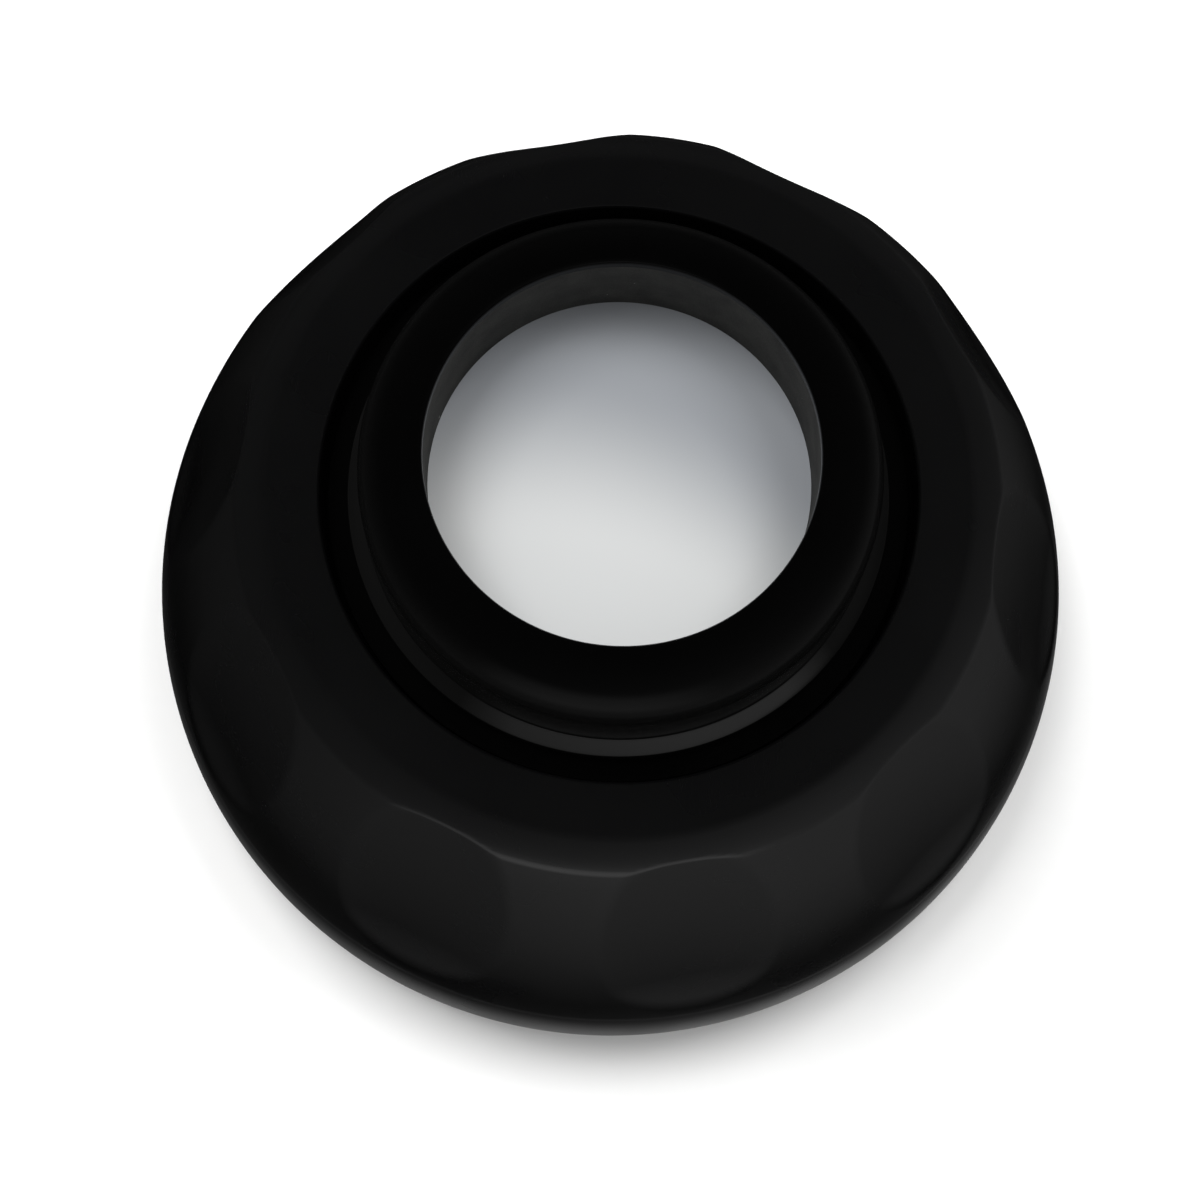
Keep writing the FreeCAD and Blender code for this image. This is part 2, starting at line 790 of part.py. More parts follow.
def make_insert_screws():
    """The screws that hold the mounting insert's flange."""
    group("insert_screws", [
        slotted_screw("insert_screw_%d" % index, "insert_screw_circle", "insert_screw_radius",
                      "insert_screw_head", "insert_screw_cone", "base_low_z", "insert_screw_end_z",
                      angle)
        for index, angle in enumerate(angles("insert_screw_count"))
    ])


def make_key_pins():
    """The pins that stop the cell from turning on the collar."""
    pins = []
    for index, angle in enumerate(angles("pin_count")):
        pin = bar("key_pin_%d" % index, "pin_radius", "pin_low_z", "pin_top_z")
        pin.setExpression(".Placement.Base.z", None)
        middle = FreeCAD.Vector(size("pin_circle"), 0, size("pin_low_z"))
        turn = FreeCAD.Rotation(FreeCAD.Vector(0, 0, 1), angle)
        pin.Placement = FreeCAD.Placement(turn.multVec(middle), turn)
        pins.append(pin)
    group("key_pins", pins)


def make_nose_grub_screws():
    """The radial grub screws that lock the nose ring in the cell."""
    first_angle = 90.0
    screws = []
    for index, angle in enumerate(angles("grub_count", first_angle)):
        screw = doc.addObject("Part::Cylinder", "grub_screw_%d" % index)
        screw.setExpression("Radius", bound("grub_radius"))
        screw.setExpression("Height", bound("grub_length"))
        outward = FreeCAD.Rotation(FreeCAD.Vector(0, 0, 1), angle).multVec(FreeCAD.Vector(1, 0, 0))
        middle = outward * size("grub_inner") + FreeCAD.Vector(0, 0, size("grub_z"))
        turn = FreeCAD.Rotation(FreeCAD.Vector(0, 0, 1), outward)
        screw.Placement = FreeCAD.Placement(middle, turn)
        screws.append(screw)
    group("nose_grub_screws", screws)


def write_parts():
    """Stop on any failed object, then write each sub-part to its own file."""
    doc.recompute()
    for item in doc.Objects:
        if "Invalid" in item.State or "Error" in item.State:
            raise RuntimeError("%s failed: %s" % (item.Label, item.State))
    os.makedirs("parts", exist_ok=True)
    for item in kept:
        shape = item.Shape
        if shape.isNull() or not shape.isValid() or not shape.Solids:
            raise RuntimeError("%s has no sound shape" % item.Label)
    for item in kept:
        item.Shape.exportStep(os.path.join("parts", item.Label + ".step"))
        print("%-18s %d solid(s) %10.1f mm3" % (item.Label, len(item.Shape.Solids),
                                                item.Shape.Volume))


fill_sheet()
make_grip_cap()
make_thread_ring()
make_ring_clip()
make_slip_ring()
make_base_plate()
make_foot_ring()
make_dust_ring()
make_mount_insert()
make_base_gasket()
make_threaded_collar()
make_cell_body()
make_cell_gasket()
make_nose_ring()
make_nose_seal()
make_bore_liner()
make_glass_seal()
make_prism_glass()
make_prism_cushion()
make_spring_washer()
make_base_screws()
make_insert_screws()
make_key_pins()
make_nose_grub_screws()
write_parts()
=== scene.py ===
"""Visual model of a survey prism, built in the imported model's frame.

The prism stands on the floor with its optical axis upright along +Z. The pieces that show are made
here in mesh code and stand for CAD nodes of the same size; the other CAD nodes keep their shape and
get a finish. Outlines are written in millimetres and become metres when a piece is made.
"""

import json
import math

import bpy
import numpy as np
from mathutils import Matrix, Vector


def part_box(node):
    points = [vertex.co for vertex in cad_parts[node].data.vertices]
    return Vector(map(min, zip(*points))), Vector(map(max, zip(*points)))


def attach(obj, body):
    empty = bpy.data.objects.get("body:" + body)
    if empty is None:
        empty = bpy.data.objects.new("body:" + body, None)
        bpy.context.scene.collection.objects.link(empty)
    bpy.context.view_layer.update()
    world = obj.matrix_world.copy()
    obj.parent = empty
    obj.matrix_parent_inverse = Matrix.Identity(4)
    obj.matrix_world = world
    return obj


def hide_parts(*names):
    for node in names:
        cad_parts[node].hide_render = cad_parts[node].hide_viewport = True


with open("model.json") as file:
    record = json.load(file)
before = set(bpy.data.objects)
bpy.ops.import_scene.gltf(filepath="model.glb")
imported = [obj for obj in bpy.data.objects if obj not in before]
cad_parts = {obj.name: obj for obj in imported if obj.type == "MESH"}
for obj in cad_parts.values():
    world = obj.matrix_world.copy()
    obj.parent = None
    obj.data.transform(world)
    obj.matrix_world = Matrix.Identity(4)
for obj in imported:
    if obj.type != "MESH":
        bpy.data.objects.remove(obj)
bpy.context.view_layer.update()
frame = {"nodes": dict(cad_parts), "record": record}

MM = 0.001
TURN = 2 * math.pi
NEAR_ZERO = 1e-6


def low(node):
    """Height of a CAD node's lowest point, in millimetres."""
    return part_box(node)[0].z / MM


def high(node):
    """Height of a CAD node's highest point, in millimetres."""
    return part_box(node)[1].z / MM


def reach(node):
    """Radius of a round CAD node, in millimetres."""
    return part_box(node)[1].x / MM


# Sizes that the nodes' boxes don't give, in millimetres: radii are from the optical axis.
ROLL_HEIGHT = 4.5          # where the rim is widest
ROLL_ROUND = 22.0
ROLL_TOP = (34.3, 10.0)
SKIRT_TOP = (26.44, 30.0)
SKIRT_BULGE = 87.0
SHOULDER_ROUND = 6.0
FACE_EDGE = 24.2
RIM_ROUND = 0.8
BORE_EDGE = 0.25
CREASE = 0.3               # length over which the moulding eases a crease, on each side
HOLLOW_FOOT = (32.0, 6.0)
HOLLOW_ROOF = (29.4, 17.3)
INNER_SKIRT = (28.4, 10.7)
CAP_BORE = 20.4
CAP_PLATE = 28.5
CAP_RECESS = 24.6
SCALLOPS = 10
SCALLOP_TURN = math.radians(-4.4)
SCALLOP_AXIS = 90.0        # upright axis that a scallop's hollow is turned about
SCALLOP_TOP = (25.5, 31.5)
SCALLOP_LOW = (31.9, 15.5)
SCALLOP_HOLLOW = 21.2
SCALLOP_EXIT = (35.3, 9.8)
SIDE_SOFTNESS = 0.14       # how far the moulding rounds a scallop's sides
END_SOFTNESS = 0.6         # and its lower end
NOSE_WALL = 17.5
NOSE_FOOT = 31.0
NOSE_STEP_TOP = 30.25
PAINTED_HIGHLIGHT_BEARING = 282            # bearing of the painted highlight on the nose's foot, in degrees
NOSE_ROUND = 4.1
MOUTH = 13.0
SPIGOT = 17.4
FIT = 0.05                 # radial clearance of a turned fit


# ---------------------------------------------------------------- outlines


def run(start, end):
    """A straight run of an outline, as points with outward normals (right of the way it goes)."""
    way = Vector((end[0] - start[0], end[1] - start[1])).normalized()
    normal = (way.y, -way.x)
    return [(*start, *normal), (*end, *normal)]


def arc(start, end, centre, degrees):
    """The shorter arc between two points about a centre, with its true normals."""
    first = math.atan2(start[1] - centre[1], start[0] - centre[0])
    swing = math.atan2(end[1] - centre[1], end[0] - centre[0]) - first
    swing = (swing + math.pi) % TURN - math.pi
    radius = math.hypot(start[0] - centre[0], start[1] - centre[1])
    side = math.copysign(1, swing)
    count = max(2, math.ceil(abs(swing) / math.radians(degrees)))
    points = []
    for i in range(count + 1):
        angle = first + swing * i / count
        across, up = math.cos(angle), math.sin(angle)
        points.append((centre[0] + radius * across, centre[1] + radius * up, side * across, side * up))
    return points


def bulge_centre(start, end, radius):
    """Centre of the arc that goes anticlockwise from start to end with the given radius."""
    start, end = Vector(start), Vector(end)
    half = (end - start) / 2
    inward = Vector((-half.y, half.x)).normalized()
    return start + half + inward * math.sqrt(radius ** 2 - half.length_squared)


def rounded(corners, degrees=9.0):
    """A closed outline, anticlockwise, through (radius, height) or (radius, height, rounding) corners."""
    ends = []
    count = len(corners)
    for i, corner in enumerate(corners):
        here = Vector(corner[:2])
        back = (Vector(corners[i - 1][:2]) - here).normalized()
        ahead = (Vector(corners[(i + 1) % count][:2]) - here).normalized()
        if len(corner) == 2:
            ends.append((here, here, None))
            continue
        half = back.angle(ahead) / 2
        cut = corner[2] / math.tan(half)
        centre = here + (back + ahead).normalized() * (corner[2] / math.sin(half))
        ends.append((here + back * cut, here + ahead * cut, centre))
    pieces = []
    for i, (entry, leave, centre) in enumerate(ends):
        if centre is not None:
            pieces.append(arc(entry, leave, centre, degrees))
        following = ends[(i + 1) % count][0]
        if (following - leave).length > NEAR_ZERO:
            pieces.append(run(leave, following))
    return pieces


def trimmed(piece, start_cut, end_cut):
    """A piece of an outline with a length taken off each end."""
    points = np.array(piece)
    steps = np.hypot(*np.diff(points[:, :2], axis=0).T)
    along = np.concatenate([[0], np.cumsum(steps)])
    last = along[-1] - end_cut
    places = [start_cut, *[a for a in along if start_cut < a < last], last]
    columns = [np.interp(places, along, column) for column in points.T]
    return [tuple(point) for point in np.array(columns).T]


def easing(start, corner, end):
    """A short curve that leads from one point to another and would else have met at the corner."""
    count = 6
    start, corner, end = Vector(start[:2]), Vector(corner[:2]), Vector(end[:2])
    points = []
    for i in range(count + 1):
        t = i / count
        spot = start * (1 - t) ** 2 + corner * (2 * t * (1 - t)) + end * t ** 2
        way = ((corner - start) * (1 - t) + (end - corner) * t).normalized()
        points.append((*spot, way.y, -way.x))
    return points


def softened(pieces, cut):
    """A chain of outline pieces with a short curve put in at every joint between them."""
    cuts = [0, *[cut] * (len(pieces) - 1), 0]
    short = [trimmed(piece, cuts[i], cuts[i + 1]) for i, piece in enumerate(pieces)]
    chain = [short[0]]
    for i in range(1, len(pieces)):
        chain.append(easing(short[i - 1][-1], pieces[i][0], short[i][0]))
        chain.append(short[i])
    return chain


# ---------------------------------------------------------------- meshes


def even_angles(steps):
    """Evenly spaced angles round a full turn."""
    return np.arange(steps) * TURN / steps


def surface_normals(angles, points, shift):
    """Normals of a turned outline, (angle, point, xyz), for points given as radius, height and normal.

    Shift pushes the surface outwards, so its slopes along and across the outline tilt the normal.
    """
    r, z, normal_r, normal_z = points.T[:, None, :]
    turn = angles[:, None]
    along_r, along_z = -normal_z, normal_r
    around = np.zeros((len(angles), len(points)))
    radius = r + around
    if shift:
        step = 1e-3
        radius = radius + shift(turn, r, z)
        ahead = shift(turn, r + step * along_r, z + step * along_z)
        back = shift(turn, r - step * along_r, z - step * along_z)
        along_r = along_r + (ahead - back) / (2 * step)
        around = (shift(turn + step, r, z) - shift(turn - step, r, z)) / (2 * step)
    outward = radius * along_z
    sideways = -around * along_z
    upward = -radius * along_r + around * 0
    length = np.sqrt(outward ** 2 + sideways ** 2 + upward ** 2) + 1e-12
    on_axis = radius < NEAR_ZERO
    outward = np.where(on_axis, 0, outward / length)
    sideways = np.where(on_axis, 0, sideways / length)
    upward = np.where(on_axis, np.sign(normal_z), upward / length)
    cosine, sine = np.cos(turn), np.sin(turn)
    return np.stack([outward * cosine - sideways * sine, outward * sine + sideways * cosine, upward], -1)


def spin(pieces, angles=None, shift=None):
    """Vertices, faces and corner normals of a closed outline turned about the optical axis.

    Shift, where it is given, moves the surface outwards by shift(angle, radius, height).
    """
    angles = even_angles(192) if angles is None else angles
    edges = [pair for piece in pieces for pair in zip(piece, piece[1:])]
    starts = np.array([edge[0] for edge in edges])
    ends = np.array([edge[1] for edge in edges])
    start_normals = surface_normals(angles, starts, shift)
    end_normals = surface_normals(angles, ends, shift)
    turn = angles[:, None]
    radius = starts[None, :, 0] + (shift(turn, starts[None, :, 0], starts[None, :, 1]) if shift else 0)
    height = np.broadcast_to(starts[None, :, 1], (len(angles), len(edges)))
    vertices = np.stack([radius * np.cos(turn), radius * np.sin(turn), height], -1)
    vertices = vertices.reshape(-1, 3)
    on_axis = starts[:, 0] < NEAR_ZERO
    size, steps = len(edges), len(angles)
    faces = []
    normals = []
    for j in range(steps):
        k = (j + 1) % steps
        for i in range(size):
            m = (i + 1) % size
            if on_axis[i] and on_axis[m]:
                continue
            corners = [(j, i, start_normals[j, i]), (k, i, start_normals[k, i]),
                       (k, m, end_normals[k, i]), (j, m, end_normals[j, i])]
            if on_axis[i]:
                corners.pop(1)
            if on_axis[m]:
                corners.pop(2)
            faces.append([column * size + row for column, row, _ in corners])
            normals += [normal for _, _, normal in corners]
    return vertices, faces, normals


def new_piece(name, body, material, shape):
    """A smooth-shaded mesh object made from millimetres, which rides on a body."""
    vertices, faces, normals = shape
    mesh = bpy.data.meshes.new(name)
    mesh.from_pydata((np.array(vertices) * MM).tolist(), [], faces)
    mesh.polygons.foreach_set("use_smooth", [True] * len(mesh.polygons))
    mesh.normals_split_custom_set(np.array(normals).tolist())
    mesh.materials.append(material)
    piece = bpy.data.objects.new(name, mesh)
    bpy.context.scene.collection.objects.link(piece)
    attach(piece, body)
    return piece


# ---------------------------------------------------------------- materials

SHADE_EDGE_START = 7.5          # distances across the glass, in millimetres, where its painted shadow edge starts and ends
SHADE_EDGE_END = -5.0
SHADE_EDGE_LEAN = 0.22
SHADE_EDGE_BOWL = 22.0
WALL_REFLECTION_LOW = 35.0       # heights on the nose, in millimetres, over which the painted reflection on its wall fades
WALL_REFLECTION_TOP = 38.5


class Finish:
    """A node material under construction: a Principled shader and helpers that feed it."""

    def __init__(self, name, colour, roughness, metallic=0.0, specular=0.5):
        self.material = bpy.data.materials.new(name)
        self.material.use_nodes = True
        self.tree = self.material.node_tree
        self.shader = self.tree.nodes["Principled BSDF"]
        self.shader.inputs["Base Color"].default_value = (*colour, 1)
        self.shader.inputs["Roughness"].default_value = roughness
        self.shader.inputs["Metallic"].default_value = metallic
        self.shader.inputs["Specular IOR Level"].default_value = specular
        self.place = self.node("ShaderNodeTexCoord").outputs["Object"]
        self.bumps = None

    def node(self, kind, **settings):
        """A new node with some of its properties set."""
        made = self.tree.nodes.new(kind)
        for key, value in settings.items():
            setattr(made, key, value)
        return made

    def feed(self, socket, value):
        """Link a node's output to a socket, or give the socket a plain value."""
        if isinstance(value, bpy.types.NodeSocket):
            self.tree.links.new(value, socket)
        else:
            socket.default_value = value

    def maths(self, operation, first, second=0.0, third=0.0):
        """One step of arithmetic on sockets or numbers."""
        made = self.node("ShaderNodeMath", operation=operation)
        for socket, value in zip(made.inputs, (first, second, third)):
            self.feed(socket, value)
        return made.outputs[0]

    def noise(self, size, detail=3.0, roughness=0.5, place=None):
        """Soft random mottling whose lumps are about the given size in millimetres."""
        made = self.node("ShaderNodeTexNoise")
        self.feed(made.inputs["Vector"], place or self.place)
        made.inputs["Scale"].default_value = 1 / (size * MM)
        made.inputs["Detail"].default_value = detail
        made.inputs["Roughness"].default_value = roughness
        return made.outputs["Fac"]

    def ramp(self, value, start, end, low_value=0.0, high_value=1.0):
        """A value stretched from one range to another and held at its ends."""
        made = self.node("ShaderNodeMapRange")
        self.feed(made.inputs["Value"], value)
        for socket, number in zip(list(made.inputs)[1:5], (start, end, low_value, high_value)):
            socket.default_value = number
        return made.outputs["Result"]

    def rings(self, spacing, smear=0.0):
        """Fine uneven rings about the optical axis, as a lathe leaves them."""
        split = self.node("ShaderNodeSeparateXYZ")
        self.feed(split.inputs[0], self.place)
        across = self.maths("MULTIPLY", split.outputs[0], split.outputs[0])
        across = self.maths("MULTIPLY_ADD", split.outputs[1], split.outputs[1], across)
        radius = self.maths("SQRT", across)
        join = self.node("ShaderNodeCombineXYZ")
        self.feed(join.inputs[0], radius)
        self.feed(join.inputs[1], split.outputs[2])
        self.feed(join.inputs[2], self.maths("MULTIPLY", split.outputs[0], smear))
        return self.noise(spacing, 4.0, 0.7, join.outputs[0])

    def specks(self, spacing, size, share):
        """Small round specks, one in every so many cells: 1 on a speck and 0 elsewhere."""
        made = self.node("ShaderNodeTexVoronoi")
        self.feed(made.inputs["Vector"], self.place)
        made.inputs["Scale"].default_value = 1 / (spacing * MM)
        split = self.node("ShaderNodeSeparateColor")
        self.feed(split.inputs[0], made.outputs["Color"])
        chosen = self.maths("LESS_THAN", split.outputs[0], share)
        width = self.maths("MULTIPLY", split.outputs[1], size / spacing)
        inside = self.maths("LESS_THAN", made.outputs["Distance"], width)
        return self.maths("MULTIPLY", chosen, inside)

    def scratches(self, spacing, share):
        """Fine straight scratches in a few directions: 1 on a scratch and 0 elsewhere."""
        found = None
        for turn, offset in ((0.4, 0.0), (1.5, 0.013), (2.6, 0.029)):
            mapping = self.node("ShaderNodeMapping")
            self.feed(mapping.inputs["Vector"], self.place)
            mapping.inputs["Location"].default_value = (offset, -offset, offset)
            mapping.inputs["Rotation"].default_value = (turn / 2, turn / 3, turn)
            mapping.inputs["Scale"].default_value = (1.0, 0.06, 1.0)
            field = self.noise(spacing, 1.0, 0.5, mapping.outputs[0])
            line = self.maths("ABSOLUTE", self.maths("SUBTRACT", field, 0.5))
            line = self.maths("LESS_THAN", line, share)
            mask = self.ramp(self.noise(spacing * 5, 1.0), 0.58, 0.62)
            line = self.maths("MULTIPLY", line, mask)
            found = line if found is None else self.maths("MAXIMUM", found, line)
        return found

    def bump(self, value, height):
        """Raise the surface by the given height in millimetres where the value is 1."""
        made = self.node("ShaderNodeBump")
        made.inputs["Strength"].default_value = 1.0
        made.inputs["Distance"].default_value = height * MM
        self.feed(made.inputs["Height"], value)
        if self.bumps is not None:
            self.feed(made.inputs["Normal"], self.bumps)
        self.bumps = made.outputs["Normal"]
        self.feed(self.shader.inputs["Normal"], self.bumps)

    def colours(self, value, first, second):
        """A colour that goes from the first to the second as the value goes from 0 to 1."""
        made = self.node("ShaderNodeMix", data_type="RGBA")
        self.feed(made.inputs["Factor"], value)
        sockets = [s for s in made.inputs if s.type == "RGBA"]
        for socket, colour in zip(sockets, (first, second)):
            self.feed(socket, colour if isinstance(colour, bpy.types.NodeSocket) else (*colour, 1))
        return next(s for s in made.outputs if s.type == "RGBA")

    def set(self, name, value):
        """Feed one of the shader's own inputs."""
        self.feed(self.shader.inputs[name], value)


def black_moulding():
    """Satin black moulding of the grip cap and base: faint flow mottling, handling marks and dust."""
    finish = Finish("black_moulding", (0.0013, 0.0013, 0.0014), 0.3)
    patch = finish.noise(9.0, 3.0)
    grain = finish.noise(0.12, 2.0)
    marks = finish.scratches(1.6, 0.0015)
    dust = finish.specks(1.3, 0.06, 0.012)
    worn = finish.colours(patch, (0.0010, 0.0010, 0.0011), (0.0017, 0.0017, 0.0018))
    worn = finish.colours(dust, worn, (0.10, 0.10, 0.095))
    finish.set("Base Color", worn)
    rough = finish.ramp(patch, 0.3, 0.7, 0.25, 0.33)
    rough = finish.maths("ADD", rough, finish.maths("MULTIPLY", marks, 0.08))
    finish.set("Roughness", rough)
    finish.bump(grain, 0.0012)
    finish.bump(patch, 0.01)
    finish.bump(finish.maths("MULTIPLY", marks, -1.0), 0.0006)
    return finish.material


def black_metal():
    """Glossy black finish on turned metal.  Fine lathe rings show through it.  A painted highlight lightens
    the front of the chamfer round the nose's foot, and a painted reflection lightens the wall low down."""
    finish = Finish("black_metal", (0.0006, 0.0006, 0.0006), 0.2)
    rings = finish.rings(0.16)
    patch = finish.noise(7.0, 2.0)
    dust = finish.specks(1.6, 0.06, 0.012)
    split = finish.node("ShaderNodeSeparateXYZ")
    finish.feed(split.inputs[0], finish.place)
    # Painted highlight: the front side of the chamfer round the nose's foot gets a paler colour and more
    # specular.
    under = finish.ramp(split.outputs[2], (NOSE_FOOT + 0.05) * MM, (NOSE_FOOT - 0.1) * MM)
    above = finish.ramp(split.outputs[2], (NOSE_STEP_TOP - 0.1) * MM, (NOSE_STEP_TOP + 0.05) * MM)
    foot = finish.maths("MULTIPLY", under, above)
    tint = finish.colours(patch, (0.0004, 0.0004, 0.0004), (0.0008, 0.0008, 0.0008))
    tint = finish.colours(dust, tint, (0.09, 0.09, 0.085))
    foot = finish.maths("MULTIPLY", foot, finish.ramp(towards(finish, finish.place, PAINTED_HIGHLIGHT_BEARING), 0.86, 0.93))
    # Painted reflection: the nose's wall is paler low down, dying away towards the crest.
    painted_wall_reflection = finish.ramp(split.outputs[2], WALL_REFLECTION_LOW * MM, WALL_REFLECTION_TOP * MM, 0.85, 0.0)
    tint = finish.colours(painted_wall_reflection, tint, (0.0055, 0.0055, 0.0054))
    finish.set("Base Color", finish.colours(foot, tint, (0.006, 0.006, 0.0058)))
    finish.set("Specular IOR Level", finish.maths("MULTIPLY_ADD", foot, 0.7, 0.07))
    finish.set("Roughness", finish.ramp(rings, 0.3, 0.7, 0.16, 0.24))
    finish.bump(rings, 0.0006)
    return finish.material


def blackened_metal():
    """Matt blackening of the prism cell, which swallows light round the nose's foot."""
    finish = Finish("blackened_metal", (0.0007, 0.0007, 0.0007), 0.45, specular=0.08)
    rings = finish.rings(0.12)
    patch = finish.noise(5.0, 3.0)
    finish.set("Base Color", finish.colours(patch, (0.0005, 0.0005, 0.0005), (0.0010, 0.0010, 0.0010)))
    finish.set("Roughness", finish.ramp(rings, 0.3, 0.7, 0.38, 0.52))
    finish.bump(rings, 0.001)
    return finish.material


def grey_liner():
    """Matt grey light-trap finish with lint and dust caught on it."""
    finish = Finish("grey_liner", (0.05, 0.05, 0.047), 0.85, specular=0.25)
    blotch = finish.noise(2.2, 4.0, 0.6)
    grain = finish.noise(0.09, 2.0)
    dust = finish.specks(0.9, 0.11, 0.10)
    tint = finish.colours(finish.ramp(blotch, 0.3, 0.7), (0.026, 0.026, 0.025), (0.044, 0.044, 0.041))
    finish.set("Base Color", finish.colours(dust, tint, (0.3, 0.3, 0.29)))
    finish.set("Roughness", finish.ramp(grain, 0.3, 0.7, 0.75, 0.95))
    finish.bump(grain, 0.012)
    return finish.material


def coated_glass():
    """The prism's polished front, milky from its silvered back.  Its colour is painted shade: bluish grey at
    the far side, paler towards the front, with a soft painted shadow edge between."""
    dim, pale = (0.25, 0.262, 0.28), (0.51, 0.518, 0.518)
    finish = Finish("coated_glass", dim, 0.4, specular=0.3)
    split = finish.node("ShaderNodeSeparateXYZ")
    finish.feed(split.inputs[0], finish.place)
    lean = finish.maths("MULTIPLY_ADD", split.outputs[0], SHADE_EDGE_LEAN, split.outputs[1])
    bowl = finish.maths("MULTIPLY", finish.maths("MULTIPLY", split.outputs[0], split.outputs[0]), SHADE_EDGE_BOWL)
    lean = finish.maths("ADD", lean, bowl)
    shade_edge_wobble = finish.maths("MULTIPLY", finish.maths("SUBTRACT", finish.noise(30.0, 2.0), 0.5), 2.0 * MM)
    # Painted shade: the far side of the glass is darker, with a soft painted shadow edge towards the front.
    painted_shade = finish.node("ShaderNodeMapRange", interpolation_type="SMOOTHSTEP")
    finish.feed(painted_shade.inputs["Value"], finish.maths("ADD", lean, shade_edge_wobble))
    for socket, number in zip(list(painted_shade.inputs)[1:5], (SHADE_EDGE_START * MM, SHADE_EDGE_END * MM, 0.0, 1.0)):
        socket.default_value = number
    finish.set("Base Color", finish.colours(painted_shade.outputs["Result"], dim, pale))
    finish.set("Roughness", finish.ramp(finish.noise(12.0), 0.3, 0.7, 0.36, 0.42))
    return finish.material


def turned(name, first, second, roughness):
    """Bare turned metal: bright, with lathe rings and slight staining."""
    finish = Finish(name, first, roughness, metallic=1.0)
    rings = finish.rings(0.12)
    stain = finish.noise(4.0, 3.0)
    finish.set("Base Color", finish.colours(finish.ramp(stain, 0.35, 0.65), first, second))
    finish.set("Roughness", finish.ramp(rings, 0.3, 0.7, roughness * 0.8, roughness * 1.3))
    finish.bump(rings, 0.002)
    return finish.material


def rubber():
    """Matt black rubber with a fine moulded grain and chalky dust."""
    finish = Finish("rubber", (0.018, 0.018, 0.018), 0.7, specular=0.4)
    grain = finish.noise(0.15, 3.0)
    bloom = finish.noise(3.0, 3.0)
    chalk = finish.ramp(bloom, 0.4, 0.8)
    finish.set("Base Color", finish.colours(chalk, (0.014, 0.014, 0.014), (0.04, 0.04, 0.038)))
    finish.set("Roughness", finish.ramp(grain, 0.3, 0.7, 0.6, 0.85))
    finish.bump(grain, 0.01)
    return finish.material


def white_plastic():
    """Waxy natural low-friction plastic."""
    finish = Finish("white_plastic", (0.8, 0.8, 0.76), 0.45)
    cloud = finish.noise(2.5, 2.0)
    finish.set("Base Color", finish.colours(cloud, (0.76, 0.76, 0.71), (0.84, 0.84, 0.81)))
    finish.set("Roughness", finish.ramp(finish.noise(0.2), 0.3, 0.7, 0.4, 0.55))
    finish.bump(finish.rings(0.2), 0.003)
    return finish.material


def all_materials():
    """Every finish, by the record's slot name."""
    return {
        "black_moulding": black_moulding(),
        "black_metal": black_metal(),
        "grey_liner": grey_liner(),
        "coated_glass": coated_glass(),
        "brass": turned("brass", (0.62, 0.44, 0.17), (0.5, 0.34, 0.12), 0.24),
        "aluminium": turned("aluminium", (0.6, 0.61, 0.62), (0.52, 0.53, 0.54), 0.3),
        "steel": turned("steel", (0.5, 0.5, 0.51), (0.42, 0.42, 0.42), 0.28),
        "rubber": rubber(),
        "white_plastic": white_plastic(),
    }


# ---------------------------------------------------------------- pieces that turn with the cap


def scallop_floor(z):
    """Radius of a scallop's floor along its middle: straight down, then curving out to the skirt."""
    slope = (SCALLOP_LOW[0] - SCALLOP_TOP[0]) / (SCALLOP_TOP[1] - SCALLOP_LOW[1])
    straight = SCALLOP_LOW[0] + slope * (SCALLOP_LOW[1] - z)
    centre = bulge_centre(SCALLOP_LOW, SCALLOP_EXIT, SCALLOP_HOLLOW)
    leaving = centre.x - np.sqrt(np.maximum(SCALLOP_HOLLOW ** 2 - (centre.y - z) ** 2, 0))
    return np.where(z > SCALLOP_LOW[1], straight, leaving)


def scallop_shift(angle, r, z):
    """How far the scallops push a point of the cap inwards, with softly rounded edges."""
    sector = TURN / SCALLOPS
    off = (angle - SCALLOP_TURN + sector / 2) % sector - sector / 2
    cutter = SCALLOP_AXIS - scallop_floor(z)
    floor = SCALLOP_AXIS * np.cos(off) - np.sqrt(cutter ** 2 - (SCALLOP_AXIS * np.sin(off)) ** 2)
    lowness = np.clip((SCALLOP_LOW[1] - z) / (SCALLOP_LOW[1] - SCALLOP_EXIT[1]), 0, 1) ** 2
    softness = SIDE_SOFTNESS + (END_SOFTNESS - SIDE_SOFTNESS) * lowness
    overlap = np.clip(1 - np.abs(floor - r) / softness, 0, None)
    return np.minimum(floor - r, 0) - overlap ** 2 * softness / 4


def cap_angles():
    """Columns of the cap's mesh, closest together where the scallops' sides run."""
    half = math.pi / SCALLOPS
    inner, outer = math.radians(6.5), math.radians(12.6)
    side = [0, *np.linspace(math.radians(1), inner, 8), *np.linspace(inner, outer, 28)[1:],
            *np.linspace(outer, half, 6)[1:]]
    sector = sorted({*side, *(-angle for angle in side[:-1])})
    return np.array([SCALLOP_TURN + TURN * i / SCALLOPS + angle for i in range(SCALLOPS) for angle in sector])


